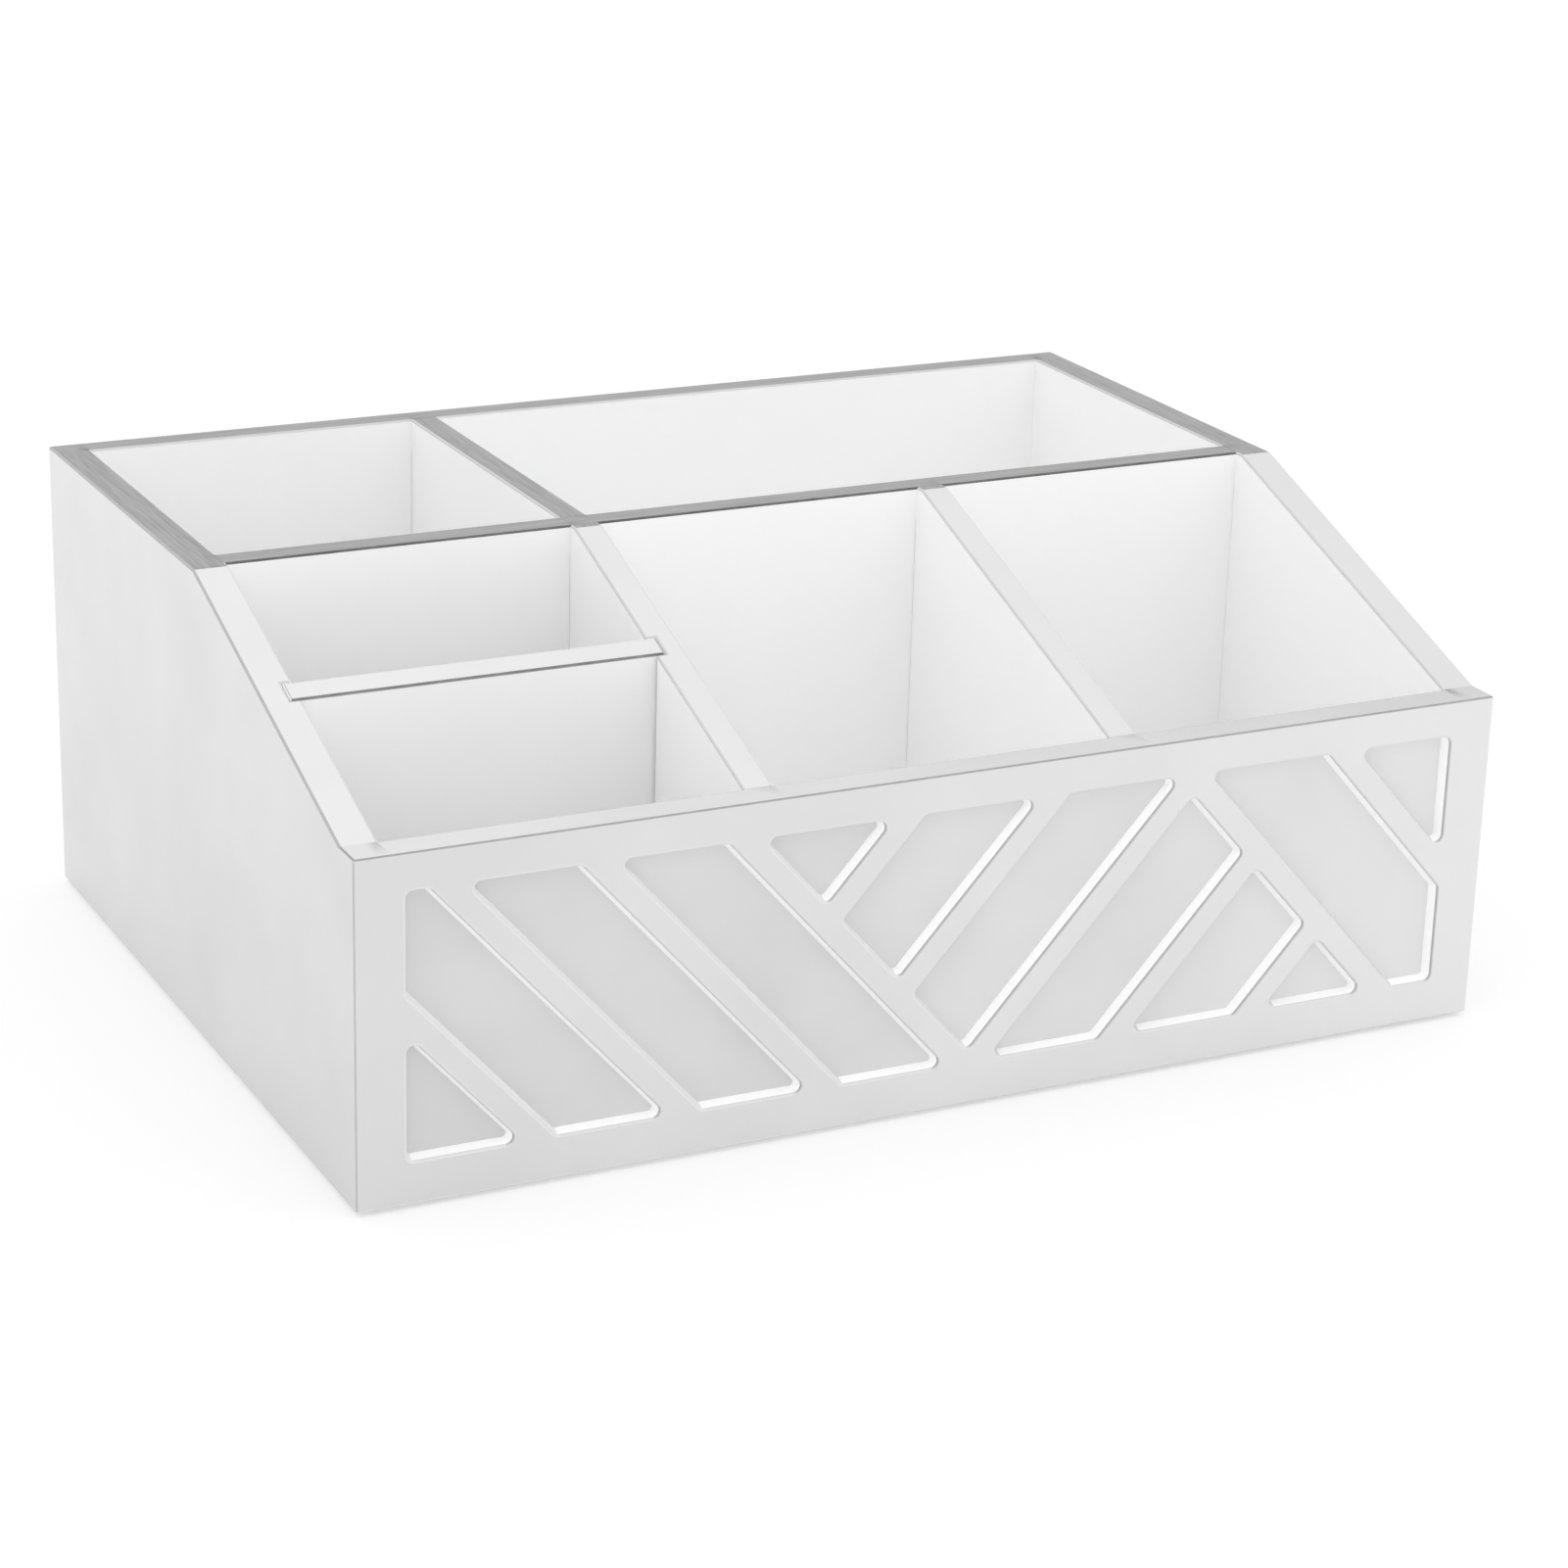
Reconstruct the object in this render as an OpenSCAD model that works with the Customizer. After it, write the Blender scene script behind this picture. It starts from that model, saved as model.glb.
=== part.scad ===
// Coffee station organizer in painted fibreboard.
// A box with two tall bays behind a cross partition and four bays in front of it,
// under partitions that slope down to a low carved front. The smallest bays are
// parted by a loose divider that lifts out of two slots.
// Origin: centre of the footprint on the table. +X right, +Y back, +Z up.

/* [Box] */
// Overall width, across both sides
box_w = 400; // [340:1:480]
// Overall depth, front face to back face
box_d = 300; // [270:1:360]
// Height of the back, of the cross partition and of the level part of the sides
back_h = 160; // [145:1:200]
// Height of the front board
front_h = 113; // [100:1:130]
// Thickness of the sides and of the front board
outer_t = 12; // [11:0.5:16]
// Thickness of the back board
back_t = 10; // [9:0.5:15]
// Thickness of the base board
base_t = 6; // [4:0.5:9]

/* [Partitions] */
// Thickness of the cross partition and of the fixed dividers
divider_t = 10; // [8:0.5:13]
// Clear depth of the front row of bays
front_row_d = 134; // [120:1:150]
// Clear width of the left column of bays
left_bay_w = 118.5; // [90:0.5:140]
// Clear width of the front right bay
right_bay_w = 118.5; // [90:0.5:140]
// Level stretch in front of the cross partition, before the slope starts
slope_lead = 3.5; // [1:0.5:12]

/* [Loose divider] */
// Thickness of the loose divider
loose_t = 8; // [6:0.5:10]
// Clear depth of the small bay in front of the loose divider
small_bay_d = 65; // [40:1:90]
// Depth of the slots that hold its ends
slot_d = 3.5; // [2.5:0.5:5]
// Running clearance on each face of the loose divider
slot_gap = 0.3; // [0.2:0.05:0.6]

/* [Carved front] */
// Depth of the carved pockets
carve_d = 3.75; // [2.5:0.25:5.5]
// Radius of the tapered cutter at the face, which rounds a pocket's corners
corner_r = 2.5; // [1.5:0.25:4]
// How far a pocket's walls lean in between the face and the floor
carve_lean = 1.25; // [0.5:0.25:1.25]
// Width of the plain stile at each end
stile_w = 16; // [14:1:24]
// Height of the plain rail over the pockets
top_rail = 12; // [8:1:18]
// Height of the plain rail under the pockets
bottom_rail = 14; // [8:1:20]
// Width of a slanting rib
rib_w = 8; // [5:0.5:11]
// Slant of the ribs above the horizontal
rib_angle = 48; // [40:1:55]
// Ribs of the left fan, which falls to the right
left_ribs = 4; // [2:1:5]
// Pitch of the left fan, square to its ribs
left_pitch = 36; // [28:0.5:44]
// Where the last rib of the left fan meets the top rail, from the left end
left_fan_x = 126; // [100:1:150]
// Ribs of the middle fan, which rises to the right
middle_ribs = 5; // [2:1:6]
// Pitch of the middle fan, square to its ribs
middle_pitch = 38.5; // [30:0.5:46]
// Where the first rib of the middle fan meets the top rail, from the left end
middle_fan_x = 182.5; // [165:0.5:200]
// Ribs of the right fan, which falls to the right
right_ribs = 2; // [1:1:3]
// Pitch of the right fan, square to its ribs
right_pitch = 42.5; // [30:0.5:50]
// Where the first rib of the right fan meets the top rail, from the left end
right_fan_x = 284.5; // [260:0.5:310]

/* [Joinery] */
// Depth of the stopped housings that take the partitions' ends
housing_d = 3; // [2:0.5:3.5]
// How far below the top edge a housing stops
housing_stop = 12; // [6:1:25]
// Width of the rebate that takes the base board's edge
rebate_w = 5; // [3:0.5:7]
// Glue clearance round housed edges
glue_gap = 0.1; // [0.05:0.05:0.3]
// Diameter of the corner dowels
dowel_d = 6; // [5:0.5:8]
// Length of the corner dowels
dowel_l = 24; // [20:1:32]
// How deep a dowel enters the front or the back board
dowel_bite = 6.5; // [5:0.5:8]
// Distance of the end dowels from the top and bottom edges
dowel_edge = 24; // [16:1:32]

/* [Pads] */
// Diameter of the anti-slip pads
pad_d = 14; // [8:1:20]
// Thickness of the anti-slip pads
pad_t = 1.5; // [1:0.25:3]
// Distance of a pad's centre from the inner faces of the walls
pad_inset = 16; // [11:1:40]

/* [Hidden] */

$fn = 48;
// A cut runs this far past the face that it opens
past = 0.5;
// Chamfer on a dowel's ends and on a pad's lower edge
dowel_chamfer = 0.6;
pad_chamfer = 0.4;
// Straight steps in a pocket's corner
corner_steps = 5;
// A pocket is left out where its floor would be smaller than this, in square mm
least_floor = 30;

// Outer faces
x_left = -box_w / 2;
x_right = box_w / 2;
y_front = -box_d / 2;
y_back = box_d / 2;
z_under = pad_t;
z_front = z_under + front_h;
z_top = z_under + back_h;

// Inner faces of the walls, and the floor of the bays
x_in_left = x_left + outer_t;
x_in_right = x_right - outer_t;
y_in_front = y_front + outer_t;
y_in_back = y_back - back_t;
z_floor = z_under + base_t;

// Partitions
cross_y = y_in_front + front_row_d;
cross_back_y = cross_y + divider_t;
left_div_x = x_in_left + left_bay_w;
right_div_x = x_in_right - right_bay_w - divider_t;
loose_y = y_in_front + small_bay_d;
loose_back_y = loose_y + loose_t;

// The slope runs from the top of the front board up to the level stretch
slope_y = cross_y - slope_lead;
function slope_z(y) = z_front + (z_top - z_front) * (y - y_in_front) / (slope_y - y_in_front);

// Heights of the corner dowels
front_dowel_z = [z_under + dowel_edge, z_front - dowel_edge];
back_dowel_z = [z_under + dowel_edge, (z_under + z_top) / 2, z_top - dowel_edge];
left_dowel_x = x_left + outer_t / 2;
right_dowel_x = x_right - outer_t / 2;
front_dowel_y = y_in_front - dowel_bite;
back_dowel_y = y_in_back + dowel_bite - dowel_l;

// Carved front, drawn in the X-Z plane
window_low = [x_left + stile_w, z_under + bottom_rail];
window_high = [x_right - stile_w, z_front - top_rail];
falling = [sin(rib_angle), cos(rib_angle)];
rising = [sin(rib_angle), -cos(rib_angle)];
beyond = box_w + back_h;

// Place of a rib along its fan's normal, from where it meets the top rail
function rib_place(normal, from_left) = normal * [x_left + from_left, window_high[1]];

left_at = [for (k = [left_ribs - 1 : -1 : 0]) rib_place(falling, left_fan_x) - k * left_pitch];
middle_at = [for (k = [0 : middle_ribs - 1]) rib_place(rising, middle_fan_x) + k * middle_pitch];
right_at = [for (k = [0 : right_ribs - 1]) rib_place(falling, right_fan_x) + k * right_pitch];

// The clear bands beside and between the ribs of a fan
function bands(at) = [for (i = [0 : len(at)])
    [i == 0 ? -beyond : at[i - 1] + rib_w / 2, i == len(at) ? beyond : at[i] - rib_w / 2]];

// Two cuts that keep a band, drawn in by the cutter's radius at the face
function band_cuts(normal, band) =
    [[normal, band[1] - corner_r], [-normal, -band[0] - corner_r]];

middle_zone = [left_at[left_ribs - 1] + rib_w / 2, right_at[0] - rib_w / 2];
pocket_cuts = concat(
    [for (i = [0 : left_ribs - 1]) band_cuts(falling, bands(left_at)[i])],
    [for (b = bands(middle_at)) concat(band_cuts(falling, middle_zone), band_cuts(rising, b))],
    [for (i = [1 : right_ribs]) band_cuts(falling, bands(right_at)[i])]
);

// The window, drawn in by the cutter's radius: the path that the cutter's centre may take
window_path = [
    window_low + [corner_r, corner_r],
    [window_high[0] - corner_r, window_low[1] + corner_r],
    window_high - [corner_r, corner_r],
    [window_low[0] + corner_r, window_high[1] - corner_r]
];

// The part of a convex outline that lies on the near side of a cut
function clip(pts, cut) = [for (i = [0 : len(pts) - 1])
    let (
        a = pts[i],
        b = pts[(i + 1) % len(pts)],
        da = cut[0] * a - cut[1],
        db = cut[0] * b - cut[1]
    )
    each concat(da <= 0 ? [a] : [], da * db < 0 ? [a + (b - a) * da / (da - db)] : [])];

function clip_all(pts, cuts, i = 0) =
    i == len(cuts) || len(pts) < 3 ? pts : clip_all(clip(pts, cuts[i]), cuts, i + 1);

function area(pts) = len(pts) < 3 ? 0 : sum_cross(pts, len(pts) - 1) / 2;
function sum_cross(pts, i) = i < 0 ? 0 : sum_cross(pts, i - 1)
    + pts[i][0] * pts[(i + 1) % len(pts)][1] - pts[i][1] * pts[(i + 1) % len(pts)][0];

// Leaves out points that repeat the one before
function distinct(pts) = [for (i = [0 : len(pts) - 1])
    if (norm(pts[i] - pts[(i + len(pts) - 1) % len(pts)]) > glue_gap) pts[i]];

function facing(a, b) = atan2(a[0] - b[0], b[1] - a[1]);

// Radius of the tapered cutter at a depth under the face
function cutter_r(depth) = corner_r - carve_lean * depth / carve_d;

// The outline that a round cutter leaves when its centre follows the path
function swept(path, r) = [for (i = [0 : len(path) - 1])
    let (
        here = path[i],
        start = facing(path[(i + len(path) - 1) % len(path)], here),
        end = facing(here, path[(i + 1) % len(path)]),
        turn = (end - start + 360) % 360
    )
    for (k = [0 : corner_steps])
        here + r * [cos(start + turn * k / corner_steps), sin(start + turn * k / corner_steps)]];

// That outline at a depth under the face, as points in space
function ring(path, depth) = [for (p = swept(path, cutter_r(depth))) [p[0], y_front + depth, p[1]]];

pocket_paths = [for (cuts = pocket_cuts)
    let (path = clip_all(window_path, cuts))
    if (area(path) > least_floor) distinct(path)];

// A block between two corners
module block(low, high) {
    translate(low) cube(high - low);
}

// A board that stands front to back, drawn in the Y-Z plane
module board_yz(x, thickness, outline) {
    translate([x, 0, 0]) rotate([90, 0, 90]) linear_extrude(thickness) polygon(outline);
}

// A board that stands left to right, drawn in the X-Z plane
module board_xz(y, thickness, outline) {
    translate([0, y + thickness, 0]) rotate([90, 0, 0]) linear_extrude(thickness) polygon(outline);
}

module painted() {
    color("whitesmoke") children();
}

// A stopped housing for a board that stands front to back, cut into a face at y
module housing_y(x, y, into, top) {
    depth = housing_d + glue_gap;
    low_y = into > 0 ? y - past : y - depth;
    block([x - glue_gap, low_y, z_floor], [x + divider_t + glue_gap, low_y + depth + past, top + glue_gap]);
}

// The rebate along the lower inner edges, which takes the base board
module base_rebate() {
    block(
        [x_in_left - rebate_w, y_in_front - rebate_w, z_under - past],
        [x_in_right + rebate_w, y_in_back + rebate_w, z_floor]
    );
}

// One dowel along Y, with chamfered ends
module dowel(x, y, z) {
    r = dowel_d / 2;
    c = dowel_chamfer;
    translate([x, y, z]) rotate([-90, 0, 0])
        rotate_extrude() polygon([[0, 0], [r - c, 0], [r, c], [r, dowel_l - c], [r - c, dowel_l], [0, dowel_l]]);
}

// The hole that one dowel takes up in both boards
module dowel_hole(x, y, z) {
    translate([x, y - glue_gap, z]) rotate([-90, 0, 0])
        cylinder(d = dowel_d + 2 * glue_gap, h = dowel_l + 2 * glue_gap);
}

module front_dowel_holes(x) {
    for (z = front_dowel_z) dowel_hole(x, front_dowel_y, z);
}

module back_dowel_holes(x) {
    for (z = back_dowel_z) dowel_hole(x, back_dowel_y, z);
}

// Side board without its joints: level at the back, sloping down to the front board
module side_blank(x) {
    board_yz(x, outer_t, [
        [y_in_front, z_under],
        [y_in_back, z_under],
        [y_in_back, z_top],
        [slope_y, z_top],
        [y_in_front, z_front]
    ]);
}

// Fixed divider of the front row, with a tongue at each end
module sloped_divider(x) {
    board_yz(x, divider_t, [
        [y_in_front - housing_d, z_floor],
        [cross_y + housing_d, z_floor],
        [cross_y + housing_d, z_top - housing_stop],
        [cross_y, z_top - housing_stop],
        [cross_y, z_top],
        [slope_y, z_top],
        [y_in_front, z_front],
        [y_in_front, z_front - housing_stop],
        [y_in_front - housing_d, z_front - housing_stop]
    ]);
}

// Space of the loose divider and its running clearance, from slot floor to slot floor
module loose_slots() {
    block(
        [x_in_left - slot_d, loose_y - slot_gap, z_floor],
        [left_div_x + slot_d, loose_back_y + slot_gap, z_top + past]
    );
}

// One carved pocket, lofted from its floor out past the face of the front board
module pocket(path) {
    floor_ring = ring(path, carve_d);
    mouth_ring = ring(path, -past);
    n = len(floor_ring);
    polyhedron(
        points = concat(floor_ring, mouth_ring),
        faces = concat(
            [[for (i = [0 : n - 1]) i], [for (i = [n - 1 : -1 : 0]) n + i]],
            [for (i = [0 : n - 1]) let (j = (i + 1) % n) [n + i, n + j, j, i]]
        )
    );
}

module base_panel() {
    edge = rebate_w - glue_gap;
    painted() block(
        [x_in_left - edge, y_in_front - edge, z_under],
        [x_in_right + edge, y_in_back + edge, z_floor]
    );
}

module left_side() {
    painted() difference() {
        side_blank(x_left);
        base_rebate();
        cross_blank(glue_gap);
        loose_slots();
        front_dowel_holes(left_dowel_x);
        back_dowel_holes(left_dowel_x);
    }
}

module right_side() {
    painted() difference() {
        side_blank(x_in_right);
        base_rebate();
        cross_blank(glue_gap);
        front_dowel_holes(right_dowel_x);
        back_dowel_holes(right_dowel_x);
    }
}

module front_panel() {
    painted() difference() {
        block([x_left, y_front, z_under], [x_right, y_in_front, z_front]);
        for (path = pocket_paths) pocket(path);
        base_rebate();
        for (x = [left_div_x, right_div_x]) housing_y(x, y_in_front, -1, z_front - housing_stop);
        for (x = [left_dowel_x, right_dowel_x]) front_dowel_holes(x);
    }
}

module back_panel() {
    painted() difference() {
        block([x_left, y_in_back, z_under], [x_right, y_back, z_top]);
        base_rebate();
        housing_y(left_div_x, y_in_back, 1, z_top - housing_stop);
        for (x = [left_dowel_x, right_dowel_x]) back_dowel_holes(x);
    }
}

// Cross partition without its housings; a gap above nought gives the housings in the sides
module cross_blank(gap = 0) {
    reach = housing_d + gap;
    stop_z = z_top - housing_stop + gap;
    board_xz(cross_y - gap, divider_t + 2 * gap, [
        [x_in_left - reach, z_floor],
        [x_in_right + reach, z_floor],
        [x_in_right + reach, stop_z],
        [x_in_right, stop_z],
        [x_in_right, z_top],
        [x_in_left, z_top],
        [x_in_left, stop_z],
        [x_in_left - reach, stop_z]
    ]);
}

module cross_partition() {
    painted() difference() {
        cross_blank();
        for (x = [left_div_x, right_div_x]) housing_y(x, cross_y, 1, z_top - housing_stop);
        housing_y(left_div_x, cross_back_y, -1, z_top - housing_stop);
    }
}

// In line with the left front divider
module rear_divider() {
    painted() board_yz(left_div_x, divider_t, [
        [cross_back_y - housing_d, z_floor],
        [y_in_back + housing_d, z_floor],
        [y_in_back + housing_d, z_top - housing_stop],
        [y_in_back, z_top - housing_stop],
        [y_in_back, z_top],
        [cross_back_y, z_top],
        [cross_back_y, z_top - housing_stop],
        [cross_back_y - housing_d, z_top - housing_stop]
    ]);
}

module front_divider_left() {
    painted() difference() {
        sloped_divider(left_div_x);
        loose_slots();
    }
}

module front_divider_right() {
    painted() sloped_divider(right_div_x);
}

// Stands on the base board with its ends in the two slots, flush with the slope
module removable_divider() {
    length = left_bay_w + 2 * (slot_d - slot_gap);
    painted() board_yz(x_in_left - slot_d + slot_gap, length, [
        [loose_y, z_floor],
        [loose_back_y, z_floor],
        [loose_back_y, slope_z(loose_back_y)],
        [loose_y, slope_z(loose_y)]
    ]);
}

module front_dowels(x) {
    color("burlywood") for (z = front_dowel_z) dowel(x, front_dowel_y, z);
}

module back_dowels(x) {
    color("burlywood") for (z = back_dowel_z) dowel(x, back_dowel_y, z);
}

module front_left_dowels() {
    front_dowels(left_dowel_x);
}

module front_right_dowels() {
    front_dowels(right_dowel_x);
}

module back_left_dowels() {
    back_dowels(left_dowel_x);
}

module back_right_dowels() {
    back_dowels(right_dowel_x);
}

// One self-adhesive pad under a corner of the base board; each sign picks a side
module foot_pad(side_x, side_y) {
    r = pad_d / 2;
    c = pad_chamfer;
    x = side_x < 0 ? x_in_left + pad_inset : x_in_right - pad_inset;
    y = side_y < 0 ? y_in_front + pad_inset : y_in_back - pad_inset;
    color("gainsboro") translate([x, y, 0])
        rotate_extrude() polygon([[0, 0], [r - c, 0], [r, c], [r, pad_t], [0, pad_t]]);
}

module foot_pad_front_left() {
    foot_pad(-1, -1);
}

module foot_pad_front_right() {
    foot_pad(1, -1);
}

module foot_pad_back_left() {
    foot_pad(-1, 1);
}

module foot_pad_back_right() {
    foot_pad(1, 1);
}

base_panel();
left_side();
right_side();
front_panel();
back_panel();
cross_partition();
rear_divider();
front_divider_left();
front_divider_right();
removable_divider();
front_left_dowels();
front_right_dowels();
back_left_dowels();
back_right_dowels();
foot_pad_front_left();
foot_pad_front_right();
foot_pad_back_left();
foot_pad_back_right();
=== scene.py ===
from math import radians

import bmesh
import bpy
from mathutils import Matrix, Vector
from mathutils.bvhtree import BVHTree


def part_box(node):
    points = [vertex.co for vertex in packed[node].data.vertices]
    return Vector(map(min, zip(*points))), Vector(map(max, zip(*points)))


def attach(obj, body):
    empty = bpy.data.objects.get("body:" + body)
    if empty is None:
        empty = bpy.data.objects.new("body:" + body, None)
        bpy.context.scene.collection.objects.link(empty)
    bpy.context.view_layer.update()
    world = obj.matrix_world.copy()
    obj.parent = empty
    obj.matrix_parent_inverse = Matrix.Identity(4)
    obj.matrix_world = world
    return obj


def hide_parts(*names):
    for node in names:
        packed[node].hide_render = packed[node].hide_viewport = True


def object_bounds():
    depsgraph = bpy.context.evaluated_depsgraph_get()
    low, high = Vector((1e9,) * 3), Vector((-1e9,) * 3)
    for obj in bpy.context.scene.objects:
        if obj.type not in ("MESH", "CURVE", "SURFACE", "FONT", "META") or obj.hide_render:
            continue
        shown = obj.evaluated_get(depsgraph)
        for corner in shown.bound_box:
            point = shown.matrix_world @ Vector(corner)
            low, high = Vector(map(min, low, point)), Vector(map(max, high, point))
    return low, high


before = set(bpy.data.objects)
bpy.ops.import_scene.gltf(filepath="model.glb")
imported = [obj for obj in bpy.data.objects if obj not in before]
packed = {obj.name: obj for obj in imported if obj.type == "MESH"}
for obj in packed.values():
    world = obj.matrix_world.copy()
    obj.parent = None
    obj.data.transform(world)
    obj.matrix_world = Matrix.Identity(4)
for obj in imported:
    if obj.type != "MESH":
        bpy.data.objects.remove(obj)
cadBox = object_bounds()
mm = 0.001
print("frame loaded with", len(packed), "CAD pieces")


# colours are written as on a paint card, in sRGB hex, and shaders want them linear
def toLinear(hexColour):
    steps = [int(hexColour[i:i + 2], 16) / 255 for i in (1, 3, 5)]
    return [s / 12.92 if s <= 0.04045 else ((s + 0.055) / 1.055) ** 2.4 for s in steps] + [1.0]


# adds a node: settings go on its own properties or else on its sockets, links feed its sockets
# (a mix of colours takes them on sockets 6 and 7 and gives the result on output 2)
def addNode(tree, kind, settings=None, links=None):
    node = tree.nodes.new(kind)
    for name, value in (settings or {}).items():
        if isinstance(name, str) and hasattr(node, name):
            setattr(node, name, value)
        else:
            node.inputs[name].default_value = value
    for name, source in (links or {}).items():
        tree.links.new(source, node.inputs[name])
    return node


def newMaterial(name):
    material = bpy.data.materials.new(name)
    material.use_nodes = True
    material.node_tree.nodes.clear()
    return material, material.node_tree


# how many times a pattern of this size fits in a metre, which is what a texture's Scale asks for
def perMetre(sizeMm):
    return 1000 / sizeMm


def addObject(name, data):
    thing = bpy.data.objects.new(name, data)
    bpy.context.scene.collection.objects.link(thing)
    return thing


# The camera stands to the left of the front and looks down into the bays
photoCamera = {
    "place": (-0.57555, -1.17125, 0.53377),  # metres
    "turn": -26.71,  # degrees round the box from straight in front, less than 0 is to the left
    "tilt": 19.93,  # degrees down
    "roll": 1.63,  # degrees
    "lens": 92.30, "film": 36,  # mm
    "clipFrom": 0.05, "clipTo": 60,  # metres
}


def placeCamera(look):
    lens = bpy.data.cameras.new("photo_camera")
    lens.lens = look["lens"]
    lens.sensor_width = look["film"]
    lens.clip_start = look["clipFrom"]
    lens.clip_end = look["clipTo"]
    camera = addObject("photo_camera", lens)
    camera.matrix_world = (
        Matrix.Translation(look["place"])
        @ Matrix.Rotation(radians(look["turn"]), 4, "Z")
        @ Matrix.Rotation(radians(90 - look["tilt"]), 4, "X")
        @ Matrix.Rotation(radians(look["roll"]), 4, "Z")
    )
    bpy.context.scene.camera = camera


placeCamera(photoCamera)
print("camera placed")

# Soft boxes on both sides of the front, weak beside the room's own glow, which is even enough
# that a painted tone renders about as it is written
studioLights = {
    "key_left": {"place": (-1.5, -0.9, 1.5), "aim": (0, 0, 0.08), "size": 1.6, "watts": 3.0},
    "fill_right": {"place": (1.5, -1.3, 0.9), "aim": (0, 0, 0.08), "size": 1.8, "watts": 1.5},
}
# The ceiling glows more than the walls, so that the bays fill with light
studioRoom = {"horizon": 0.74, "zenith": 1.34, "glow": "#FFFFFF", "backdrop": "#FFFFFF"}


def hangLight(name, look):
    lamp = bpy.data.lights.new(name, "AREA")
    lamp.size = look["size"]
    lamp.energy = look["watts"]
    light = addObject(name, lamp)
    light.location = look["place"]
    towardsBox = Vector(look["aim"]) - light.location
    light.rotation_euler = towardsBox.to_track_quat("-Z", "Y").to_euler()


# the world lights the box softly, and shows as plain white behind it and in gloss
def makeRoom(look):
    world = bpy.data.worlds.new("studio_room")
    world.use_nodes = True
    bpy.context.scene.world = world
    tree = world.node_tree
    tree.nodes.clear()
    ray = addNode(tree, "ShaderNodeLightPath")
    seenOrMirrored = addNode(tree, "ShaderNodeMath", {"operation": "MAXIMUM"}, {
        0: ray.outputs["Is Camera Ray"], 1: ray.outputs["Is Glossy Ray"]})
    seen = addNode(tree, "ShaderNodeMath", {"operation": "MAXIMUM"}, {
        0: seenOrMirrored.outputs[0], 1: ray.outputs["Is Transmission Ray"]})
    sky = addNode(tree, "ShaderNodeTexCoord")
    height = addNode(tree, "ShaderNodeSeparateXYZ", {}, {0: sky.outputs["Generated"]})
    strength = addNode(tree, "ShaderNodeMapRange", {
        "To Min": look["horizon"], "To Max": look["zenith"]}, {"Value": height.outputs["Z"]})
    glow = addNode(tree, "ShaderNodeBackground", {"Color": toLinear(look["glow"])}, {
        "Strength": strength.outputs[0]})
    backdrop = addNode(tree, "ShaderNodeBackground", {
        "Color": toLinear(look["backdrop"]), "Strength": 1.0})
    room = addNode(tree, "ShaderNodeMixShader", {}, {
        0: seen.outputs[0], 1: glow.outputs[0], 2: backdrop.outputs[0]})
    addNode(tree, "ShaderNodeOutputWorld", {}, {"Surface": room.outputs[0]})


for lightName, lightLook in studioLights.items():
    hangLight(lightName, lightLook)
makeRoom(studioRoom)
bpy.context.scene.view_settings.view_transform = "Standard"
print("lights hung")

# White paper: plain white to the eye, except near the box, where it takes a soft shadow
paperFloor = {
    "colour": "#F7F7F7", "white": "#FFFFFF",
    "half": 9.0,  # metres from the middle to an edge
    "shadowShare": 0.45,  # how much of the shadow shows close to the box
    "clearFrom": 0.22, "clearTo": 0.5,  # metres from the middle, where the shadow fades out
}


def layPaper(look):
    material, tree = newMaterial("white_paper")
    ray = addNode(tree, "ShaderNodeLightPath")
    place = addNode(tree, "ShaderNodeTexCoord").outputs["Object"]
    away = addNode(tree, "ShaderNodeVectorMath", {"operation": "LENGTH"}, {0: place})
    share = addNode(tree, "ShaderNodeMapRange", {
        "interpolation_type": "SMOOTHSTEP",
        "From Min": look["clearFrom"], "From Max": look["clearTo"],
        "To Min": 1 - look["shadowShare"], "To Max": 1.0}, {"Value": away.outputs["Value"]})
    seenShare = addNode(tree, "ShaderNodeMath", {"operation": "MULTIPLY"}, {
        0: ray.outputs["Is Camera Ray"], 1: share.outputs[0]})
    paper = addNode(tree, "ShaderNodeBsdfDiffuse", {"Color": toLinear(look["colour"])})
    white = addNode(tree, "ShaderNodeEmission", {"Color": toLinear(look["white"]), "Strength": 1.0})
    seenPaper = addNode(tree, "ShaderNodeMixShader", {}, {
        0: seenShare.outputs[0], 1: paper.outputs[0], 2: white.outputs[0]})
    addNode(tree, "ShaderNodeOutputMaterial", {}, {"Surface": seenPaper.outputs[0]})
    sheet = bmesh.new()
    bmesh.ops.create_grid(sheet, x_segments=1, y_segments=1, size=look["half"])
    mesh = bpy.data.meshes.new("paper_floor")
    sheet.to_mesh(mesh)
    sheet.free()
    mesh.materials.append(material)
    floor = addObject("paper_floor", mesh)


layPaper(paperFloor)
print("paper laid")

# Directions: x goes to the right, y to the back and z up
rightward = (1, 0, 0)
upward = (0, 0, 1)
mostlyLeft = (-0.95, -0.1, 0.3)
upAndBack = (0, 0.5, 0.85)
upAndLeft = (-0.62, -0.1, 0.78)
upAndForward = (0, -0.75, 0.65)

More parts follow.
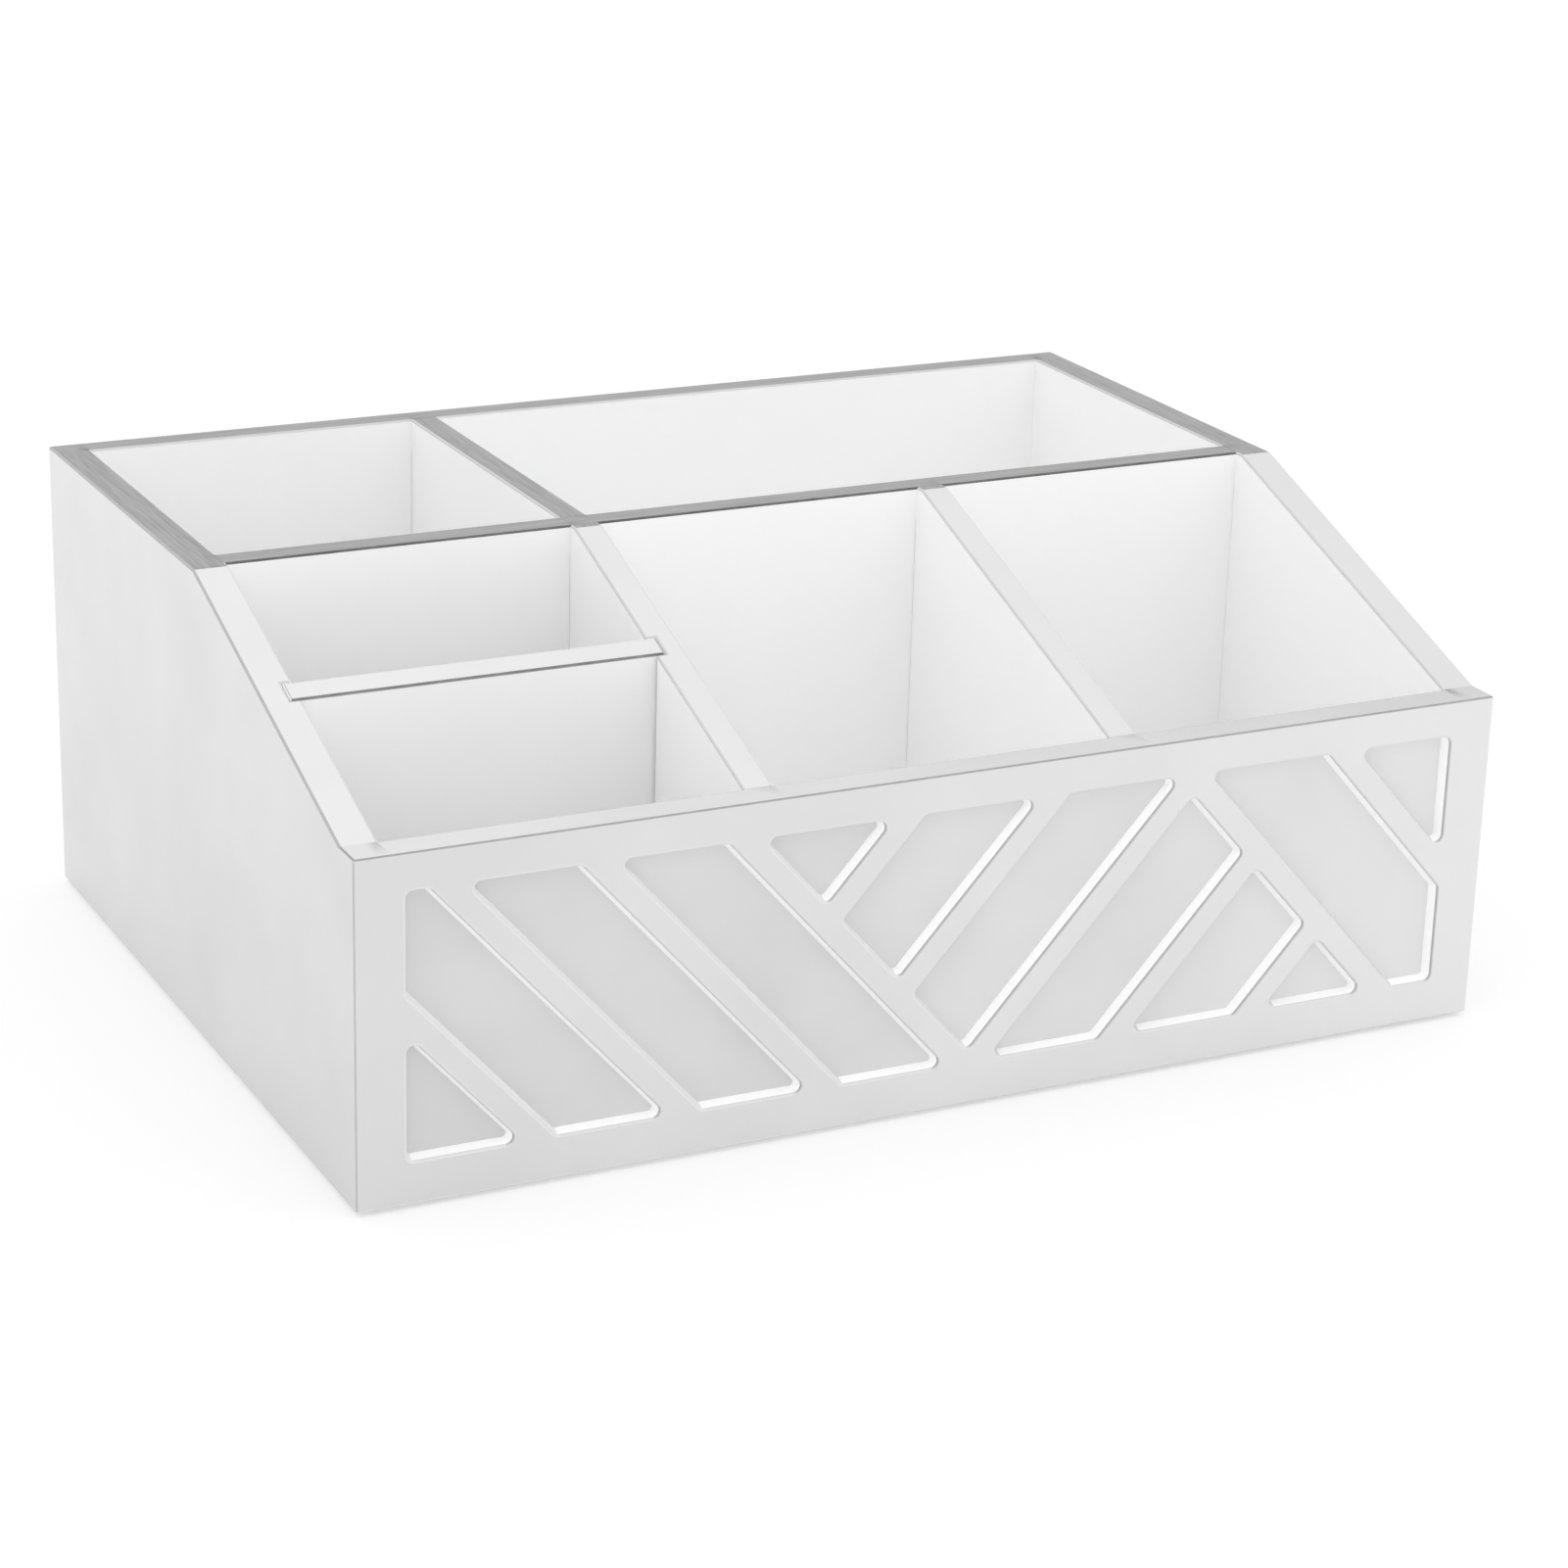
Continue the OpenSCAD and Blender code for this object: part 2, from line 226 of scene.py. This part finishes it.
# Sprayed board: medium-density fibreboard, sealed, rubbed down and sprayed in satin lacquer.
# The eye sees an almost even tone with slow clouds in it, a faint orange peel and a soft sheen.
# Each face goes slowly from one tone to another along a direction, over a span in metres. These tones are
# painted light and shade: each facing of the board has its own tone, and the gradients stand in for how the
# light falls.
lacquerPaintedLightTones = {
    "side_face": {"from": "#D0D0D0", "to": "#DFDFDF", "along": upAndBack, "span": (-0.07, 0.21)},
    "front_face": {"from": "#D4D4D4", "to": "#E0E0E0", "along": rightward, "span": (-0.2, 0.2)},
    "bay_face": {"from": "#FFFFFF", "to": "#FDFDFD", "along": upward, "span": (0.01, 0.16)},
    "loose_face": {"from": "#F8F8F8", "to": "#F6F6F6", "along": upward, "span": (0.01, 0.16)},
    "carved_floor": {"from": "#CDCDCD", "to": "#DEDEDE", "along": rightward, "span": (-0.19, 0.19)},
    "carved_wall": {"from": "#FFFFFF", "to": "#FFFFFF", "along": rightward, "span": (-0.19, 0.19)},
    "carved_far_wall": {"from": "#EEEEEE", "to": "#DADADA", "along": rightward, "span": (-0.19, 0.19)},
    "sloped_edge": {"from": "#DCDCDC", "to": "#D2D2D2", "along": rightward, "span": (-0.2, 0.2)},
    "front_top": {"from": "#D3D3D3", "to": "#C2C2C2", "along": rightward, "span": (-0.2, 0.2)},
}
lacquer = {
    "cloudMm": 45.0,
    "thinCloud": 0.3, "thickCloud": 0.7,  # what the noise gives in a thin cloud and in a thick one
    "drift": 0.2,  # how far the clouds shift the tone along its slow change
    "peelMm": 1.6,  # real orange peel is near 1 mm, drawn a little coarser so that it shows
    "peelDepth": 0.012 * mm,
    "roughness": 0.46,
    "ior": 1.47,
}


# a lacquer whose tone is painted light: it goes from one tone to another along a direction, with clouds in
# it
def lacquerWithPaintedLight(name, look):
    material, tree = newMaterial("lacquer_painted_light_" + name)
    place = addNode(tree, "ShaderNodeTexCoord").outputs["Object"]
    reach = addNode(tree, "ShaderNodeVectorMath", {"operation": "DOT_PRODUCT", 1: look["along"]}, {
        0: place})
    across = addNode(tree, "ShaderNodeMapRange", {
        "From Min": look["span"][0], "From Max": look["span"][1]}, {"Value": reach.outputs["Value"]})
    clouds = addNode(tree, "ShaderNodeTexNoise", {
        "Scale": perMetre(lacquer["cloudMm"]), "Detail": 3.0, "Roughness": 0.5}, {"Vector": place})
    drift = addNode(tree, "ShaderNodeMapRange", {
        "From Min": lacquer["thinCloud"], "From Max": lacquer["thickCloud"],
        "To Min": -lacquer["drift"], "To Max": lacquer["drift"]}, {"Value": clouds.outputs[0]})
    share = addNode(tree, "ShaderNodeMath", {"operation": "ADD", "use_clamp": True}, {
        0: across.outputs[0], 1: drift.outputs[0]})
    tone = addNode(tree, "ShaderNodeMix", {
        "data_type": "RGBA", 6: toLinear(look["from"]), 7: toLinear(look["to"])}, {0: share.outputs[0]})
    peel = addNode(tree, "ShaderNodeTexNoise", {
        "Scale": perMetre(lacquer["peelMm"]), "Detail": 1.0, "Roughness": 0.4}, {"Vector": place})
    relief = addNode(tree, "ShaderNodeBump", {"Strength": 1.0, "Distance": lacquer["peelDepth"]}, {
        "Height": peel.outputs[0]})
    coat = addNode(tree, "ShaderNodeBsdfPrincipled", {
        "Roughness": lacquer["roughness"], "IOR": lacquer["ior"]}, {
        "Base Color": tone.outputs[2], "Normal": relief.outputs[0]})
    addNode(tree, "ShaderNodeOutputMaterial", {}, {"Surface": coat.outputs[0]})
    return material


# Level cut edges: a grey tone, darker than the faces, which is painted shade for level tops,
# with fine streaks along the board
cutEdgeShadeAndStreaks = {
    "tone": "#9F9F9F", "streak": "#8A8A8A",
    "streakWideMm": 0.9, "streakLongMm": 26.0,
    "streakFrom": 0.38, "streakTo": 0.7,  # what the noise gives at a streak's edge and in its middle
    "streakDepth": 0.03 * mm,
    "roughness": 0.6,
}


def shadedCutEdge(name, alongX):
    material, tree = newMaterial("painted_shade_" + name)
    place = addNode(tree, "ShaderNodeTexCoord").outputs["Object"]
    wide, long = perMetre(cutEdgeShadeAndStreaks["streakWideMm"]), perMetre(cutEdgeShadeAndStreaks["streakLongMm"])
    stretch = (long, wide, wide) if alongX else (wide, long, wide)
    stretched = addNode(tree, "ShaderNodeVectorMath", {"operation": "MULTIPLY", 1: stretch}, {0: place})
    streaks = addNode(tree, "ShaderNodeTexNoise", {"Scale": 1.0, "Detail": 3.0, "Roughness": 0.6}, {
        "Vector": stretched.outputs[0]})
    share = addNode(tree, "ShaderNodeMapRange", {
        "From Min": cutEdgeShadeAndStreaks["streakFrom"], "From Max": cutEdgeShadeAndStreaks["streakTo"]}, {"Value": streaks.outputs[0]})
    tone = addNode(tree, "ShaderNodeMix", {
        "data_type": "RGBA", 6: toLinear(cutEdgeShadeAndStreaks["tone"]), 7: toLinear(cutEdgeShadeAndStreaks["streak"])}, {
        0: share.outputs[0]})
    relief = addNode(tree, "ShaderNodeBump", {"Strength": 0.6, "Distance": cutEdgeShadeAndStreaks["streakDepth"]}, {
        "Height": streaks.outputs[0]})
    coat = addNode(tree, "ShaderNodeBsdfPrincipled", {
        "Roughness": cutEdgeShadeAndStreaks["roughness"], "IOR": lacquer["ior"]}, {
        "Base Color": tone.outputs[2], "Normal": relief.outputs[0]})
    addNode(tree, "ShaderNodeOutputMaterial", {}, {"Surface": coat.outputs[0]})
    return material


# Arrises: a thin line on each arris, which is painted shade. It is dark where the arris turns to a given
# side and pale where it turns away, with noise patches making it uneven. A span is how far it has to turn
# to that side, from where the line starts to where it is full.
arrisShadeLooks = {
    "arris_soft": {"dark": "#C4C4C4", "light": "#E6E6E6", "shadeFacing": upAndLeft, "span": (0.1, 0.6)},
    "arris_outer": {"dark": "#A4A4A4", "light": "#E0E0E0", "shadeFacing": upAndLeft, "span": (0.1, 0.6)},
    "arris_front": {"dark": "#8C8C8C", "light": "#DEDEDE", "shadeFacing": upward, "span": (0.1, 0.6)},
    "arris_carved": {"dark": "#A2A2A2", "light": "#DEDEDE", "shadeFacing": mostlyLeft, "span": (0.2, 0.7)},
    "arris_cross": {"dark": "#3C3C3C", "light": "#BEBEBE", "shadeFacing": upAndForward, "span": (-0.6, 0.9)},
    "arris_divider": {"dark": "#4C4C4C", "light": "#F0F0F0", "shadeFacing": upAndForward, "span": (0.65, 0.95)},
}
arrisShading = {
    "patchMm": 6.0,
    "least": 0.7,  # how strong the painted shade line stays where the noise patches are weakest
    "roughness": 0.55,
}


def shadedArris(name, look):
    material, tree = newMaterial("painted_shade_line_" + name)
    place = addNode(tree, "ShaderNodeTexCoord").outputs["Object"]
    outward = addNode(tree, "ShaderNodeNewGeometry").outputs["Normal"]
    turned = addNode(tree, "ShaderNodeVectorMath", {"operation": "DOT_PRODUCT", 1: look["shadeFacing"]}, {
        0: outward})
    shadeFacing = addNode(tree, "ShaderNodeMapRange", {
        "From Min": look["span"][0], "From Max": look["span"][1]}, {"Value": turned.outputs["Value"]})
    patches = addNode(tree, "ShaderNodeTexNoise", {
        "Scale": perMetre(arrisShading["patchMm"]), "Detail": 3.0}, {"Vector": place})
    uneven = addNode(tree, "ShaderNodeMapRange", {"To Min": arrisShading["least"], "To Max": 1.0}, {
        "Value": patches.outputs[0]})
    share = addNode(tree, "ShaderNodeMath", {"operation": "MULTIPLY"}, {
        0: shadeFacing.outputs[0], 1: uneven.outputs[0]})
    tone = addNode(tree, "ShaderNodeMix", {
        "data_type": "RGBA", 6: toLinear(look["light"]), 7: toLinear(look["dark"])}, {0: share.outputs[0]})
    coat = addNode(tree, "ShaderNodeBsdfPrincipled", {
        "Roughness": arrisShading["roughness"], "IOR": lacquer["ior"]}, {"Base Color": tone.outputs[2]})
    addNode(tree, "ShaderNodeOutputMaterial", {}, {"Surface": coat.outputs[0]})
    return material


finishes = {name: lacquerWithPaintedLight(name, look) for name, look in lacquerPaintedLightTones.items()}
finishes["cut_edge_along_x"] = shadedCutEdge("cut_edge_along_x", True)
finishes["cut_edge_along_y"] = shadedCutEdge("cut_edge_along_y", False)
finishes.update({name: shadedArris(name, look) for name, look in arrisShadeLooks.items()})
print("paint mixed:", len(finishes), "finishes")

# Boards: a copy of each packed board gets its arrises eased, except where another board is glued on
boardNames = ["left_side", "right_side", "front_panel", "back_panel", "cross_partition", "rear_divider",
              "front_divider_left", "front_divider_right", "removable_divider"]
boardLook = {
    "ease": 0.7 * mm, "rings": 3,  # how wide an arris is eased, and in how many steps
    "glued": 0.25 * mm,  # an arris nearer than this to another board stays sharp
    "near": 1 * mm,  # a board this near meets another one, and a face this near is on the box's outside
    "joined": 0.005 * mm,  # corners nearer than this are one
    "onCut": 0.002 * mm,  # corners nearer than this to a cut lie on it
    "flatUnder": 0.3, "arrisOver": 30, "smoothUnder": 40,  # degrees between two faces
}
# How far a face has to turn to a side before it counts as looking that way, 1 is fully
turnedTo = {"side": 0.5, "level": 0.985, "slope": 0.8, "carvedFloor": 0.9, "farWall": 0.2}
carving = {
    "border": 9 * mm,  # the pockets keep further than this from the front's ends, top and bottom
    "from": 0.5 * mm, "to": 5 * mm,  # depths between which a pocket's own faces have their middles
}
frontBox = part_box("front_panel")
arrisOf = {"cross_partition": "arris_cross", "removable_divider": "arris_divider"}
flatMark, easedMark = 0, 1  # material indices that tell a board's faces apart until it gets its finishes


def solidOf(name):
    solid = bmesh.new()
    solid.from_mesh(packed[name].data)
    bmesh.ops.remove_doubles(solid, verts=solid.verts, dist=boardLook["joined"])
    bmesh.ops.dissolve_limit(solid, angle_limit=radians(boardLook["flatUnder"]),
                             verts=solid.verts, edges=solid.edges)
    return solid


# cuts a line across a board where the side of another board meets it, so that an arris can stop there
def markMeeting(solid, name, other, axis):
    low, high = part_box(name)
    otherLow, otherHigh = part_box(other)
    near = boardLook["near"]
    if not all(otherHigh[i] > low[i] - near and otherLow[i] < high[i] + near for i in range(3)):
        return
    across = [float(i == axis) for i in range(3)]
    for corner in (otherLow, otherHigh):
        if not low[axis] + near < corner[axis] < high[axis] - near:
            continue
        faces = [f for f in solid.faces
                 if f.normal.z > turnedTo["side"] or abs(f.normal[1 - axis]) > turnedTo["side"]]
        if name == "front_panel":  # its carved face stays whole
            faces = [f for f in faces if f.normal.y > -turnedTo["side"]]
        cut = set(faces) | {e for f in faces for e in f.edges} | {v for f in faces for v in f.verts}
        bmesh.ops.bisect_plane(solid, geom=list(cut), dist=boardLook["onCut"],
                               plane_co=corner, plane_no=across)


# the outer arrises that no other board covers
def freeArrises(solid, others):
    surfaces = [BVHTree.FromPolygons([v.co for v in packed[n].data.vertices],
                                     [tuple(p.vertices) for p in packed[n].data.polygons]) for n in others]
    arrises = []
    for edge in solid.edges:
        if len(edge.link_faces) != 2 or edge.calc_face_angle_signed(0) < radians(boardLook["arrisOver"]):
            continue
        middle = (edge.verts[0].co + edge.verts[1].co) / 2
        if all(s.find_nearest(middle, boardLook["glued"])[0] is None for s in surfaces):
            arrises.append(edge)
    return arrises


def easedBoard(name, alongX):
    solid = solidOf(name)
    others = [n for n in boardNames + ["base_panel"] if n != name]
    for other in others:
        markMeeting(solid, name, other, 0 if alongX else 1)
    arrises = freeArrises(solid, others)
    for face in solid.faces:
        face.material_index = flatMark
    bmesh.ops.bevel(solid, geom=arrises, offset=boardLook["ease"], offset_type="OFFSET",
                    segments=boardLook["rings"], profile=0.5, affect="EDGES", material=easedMark,
                    clamp_overlap=False, loop_slide=False)
    return solid


def inCarving(name, middle):
    low, high = frontBox
    border = carving["border"]
    return (name == "front_panel" and middle.y < low.y + carving["to"]
            and low.x + border < middle.x < high.x - border
            and low.z + border < middle.z < high.z - border)


# picks which painted shade line an arris gets
def arrisShadeOf(name, middle):
    if name in arrisOf:
        return arrisOf[name]
    if inCarving(name, middle):
        return "arris_carved"
    if name == "front_panel" and middle.z > frontBox[1].z - carving["border"]:
        return "arris_front"
    return "arris_outer" if middle.x < cadBox[0].x + boardLook["near"] else "arris_soft"


# picks a face's tone by the way it faces, which is painted light and shade: level tops greyer, slopes
# paler, pocket walls facing left or up white, pocket floors and far pocket walls greyer, bay insides whiter
# than the outside
def paintedLightOfFace(name, middle, normal, alongX):
    low, high = cadBox
    near = boardLook["near"]
    if inCarving(name, middle) and middle.y > low.y + carving["from"]:
        if normal.y < -turnedTo["carvedFloor"]:
            return "carved_floor"
        return "carved_wall" if normal.x < turnedTo["farWall"] else "carved_far_wall"
    if normal.z > turnedTo["level"]:
        if name == "front_panel":
            return "front_top"
        return "cut_edge_along_x" if alongX else "cut_edge_along_y"
    if normal.z > turnedTo["slope"]:
        return "sloped_edge"
    if middle.y < low.y + near:
        return "front_face"
    if name == "removable_divider":
        return "loose_face"
    outside = middle.x < low.x + near or middle.x > high.x - near or middle.y > high.y - near
    return "side_face" if outside or normal.z < -turnedTo["side"] else "bay_face"


def dressBoard(name):
    low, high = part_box(name)
    alongX = high.x - low.x > high.y - low.y
    solid = easedBoard(name, alongX)
    smoothUnder = radians(boardLook["smoothUnder"])
    used = []
    for face in solid.faces:
        middle = face.calc_center_median()
        if face.material_index == easedMark:
            finish = arrisShadeOf(name, middle)
        else:
            finish = paintedLightOfFace(name, middle, face.normal, alongX)
        if finish not in used:
            used.append(finish)
        face.material_index = used.index(finish)
        face.smooth = True
    for edge in solid.edges:
        edge.smooth = len(edge.link_faces) == 2 and edge.calc_face_angle(0) < smoothUnder
    mesh = bpy.data.meshes.new(name + "_painted")
    solid.to_mesh(mesh)
    solid.free()
    for finish in used:
        mesh.materials.append(finishes[finish])
    piece = addObject(name + "_painted", mesh)
    flat = piece.modifiers.new("flat_faces", "WEIGHTED_NORMAL")
    flat.keep_sharp = True
    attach(piece, "loose_divider" if name == "removable_divider" else "box")
    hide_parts(name)


for boardName in boardNames:
    dressBoard(boardName)
    print("painted", boardName)


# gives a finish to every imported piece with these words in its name, and returns these pieces
def finishPacked(words, material):
    picked = [node for name, node in packed.items() if words in name]
    for node in picked:
        node.data.materials.clear()
        node.data.materials.append(material)
    return picked


# Base: the same board, lying in its rebate, given the bays' whiter tone, which is painted light
finishPacked("base_panel", finishes["bay_face"])
print("base finished")

# Dowels: turned beech rod, left bare: pale pinkish brown with fine darker flecks along the rod, along Y
beech = {
    "tone": "#D9B98E", "fleck": "#B98F62",
    "fleckWideMm": 0.5, "fleckLongMm": 4.0,
    "fleckFrom": 0.5, "fleckTo": 0.68,  # what the noise gives at a fleck's edge and in its middle
    "fleckDepth": 0.02 * mm,
    "roughness": 0.65,
    "ior": 1.5,
}


def turnedBeech(look):
    material, tree = newMaterial("turned_beech")
    place = addNode(tree, "ShaderNodeTexCoord").outputs["Object"]
    wide, long = perMetre(look["fleckWideMm"]), perMetre(look["fleckLongMm"])
    stretched = addNode(tree, "ShaderNodeVectorMath", {"operation": "MULTIPLY", 1: (wide, long, wide)}, {
        0: place})
    flecks = addNode(tree, "ShaderNodeTexNoise", {"Scale": 1.0, "Detail": 2.0}, {
        "Vector": stretched.outputs[0]})
    share = addNode(tree, "ShaderNodeMapRange", {
        "From Min": look["fleckFrom"], "From Max": look["fleckTo"]}, {"Value": flecks.outputs[0]})
    tone = addNode(tree, "ShaderNodeMix", {
        "data_type": "RGBA", 6: toLinear(look["tone"]), 7: toLinear(look["fleck"])}, {0: share.outputs[0]})
    relief = addNode(tree, "ShaderNodeBump", {"Strength": 0.5, "Distance": look["fleckDepth"]}, {
        "Height": flecks.outputs[0]})
    wood = addNode(tree, "ShaderNodeBsdfPrincipled", {
        "Roughness": look["roughness"], "IOR": look["ior"]}, {
        "Base Color": tone.outputs[2], "Normal": relief.outputs[0]})
    addNode(tree, "ShaderNodeOutputMaterial", {}, {"Surface": wood.outputs[0]})
    return material


finishPacked("_dowels", turnedBeech(beech))
print("dowels finished")

# Pads: soft polyurethane bumpers, moulded with slightly rounded rims: milky pale grey, faintly frosted
padLook = {
    "tone": "#C9CBCC", "cloud": "#BEC1C3",
    "cloudMm": 3.0,
    "grainMm": 0.4, "grainDepth": 0.01 * mm,
    "roughness": 0.5,
    "ior": 1.5,
    "rim": 0.2 * mm, "rimRings": 3,  # how wide a rim is rounded, and in how many steps
    "rimOver": 30,  # degrees between two faces
}


def mouldedPolyurethane(look):
    material, tree = newMaterial("moulded_polyurethane")
    place = addNode(tree, "ShaderNodeTexCoord").outputs["Object"]
    clouds = addNode(tree, "ShaderNodeTexNoise", {"Scale": perMetre(look["cloudMm"])}, {"Vector": place})
    tone = addNode(tree, "ShaderNodeMix", {
        "data_type": "RGBA", 6: toLinear(look["tone"]), 7: toLinear(look["cloud"])}, {0: clouds.outputs[0]})
    grain = addNode(tree, "ShaderNodeTexNoise", {"Scale": perMetre(look["grainMm"])}, {"Vector": place})
    relief = addNode(tree, "ShaderNodeBump", {"Strength": 0.5, "Distance": look["grainDepth"]}, {
        "Height": grain.outputs[0]})
    rubber = addNode(tree, "ShaderNodeBsdfPrincipled", {
        "Roughness": look["roughness"], "IOR": look["ior"]}, {
        "Base Color": tone.outputs[2], "Normal": relief.outputs[0]})
    addNode(tree, "ShaderNodeOutputMaterial", {}, {"Surface": rubber.outputs[0]})
    return material


def roundRims(pad, look):
    joined = pad.modifiers.new("joined_faces", "WELD")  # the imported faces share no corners
    joined.merge_threshold = boardLook["joined"]
    rim = pad.modifiers.new("moulded_rim", "BEVEL")
    rim.width = look["rim"]
    rim.segments = look["rimRings"]
    rim.limit_method = "ANGLE"
    rim.angle_limit = radians(look["rimOver"])


for padNode in finishPacked("foot_pad_", mouldedPolyurethane(padLook)):
    roundRims(padNode, padLook)
print("pads finished")
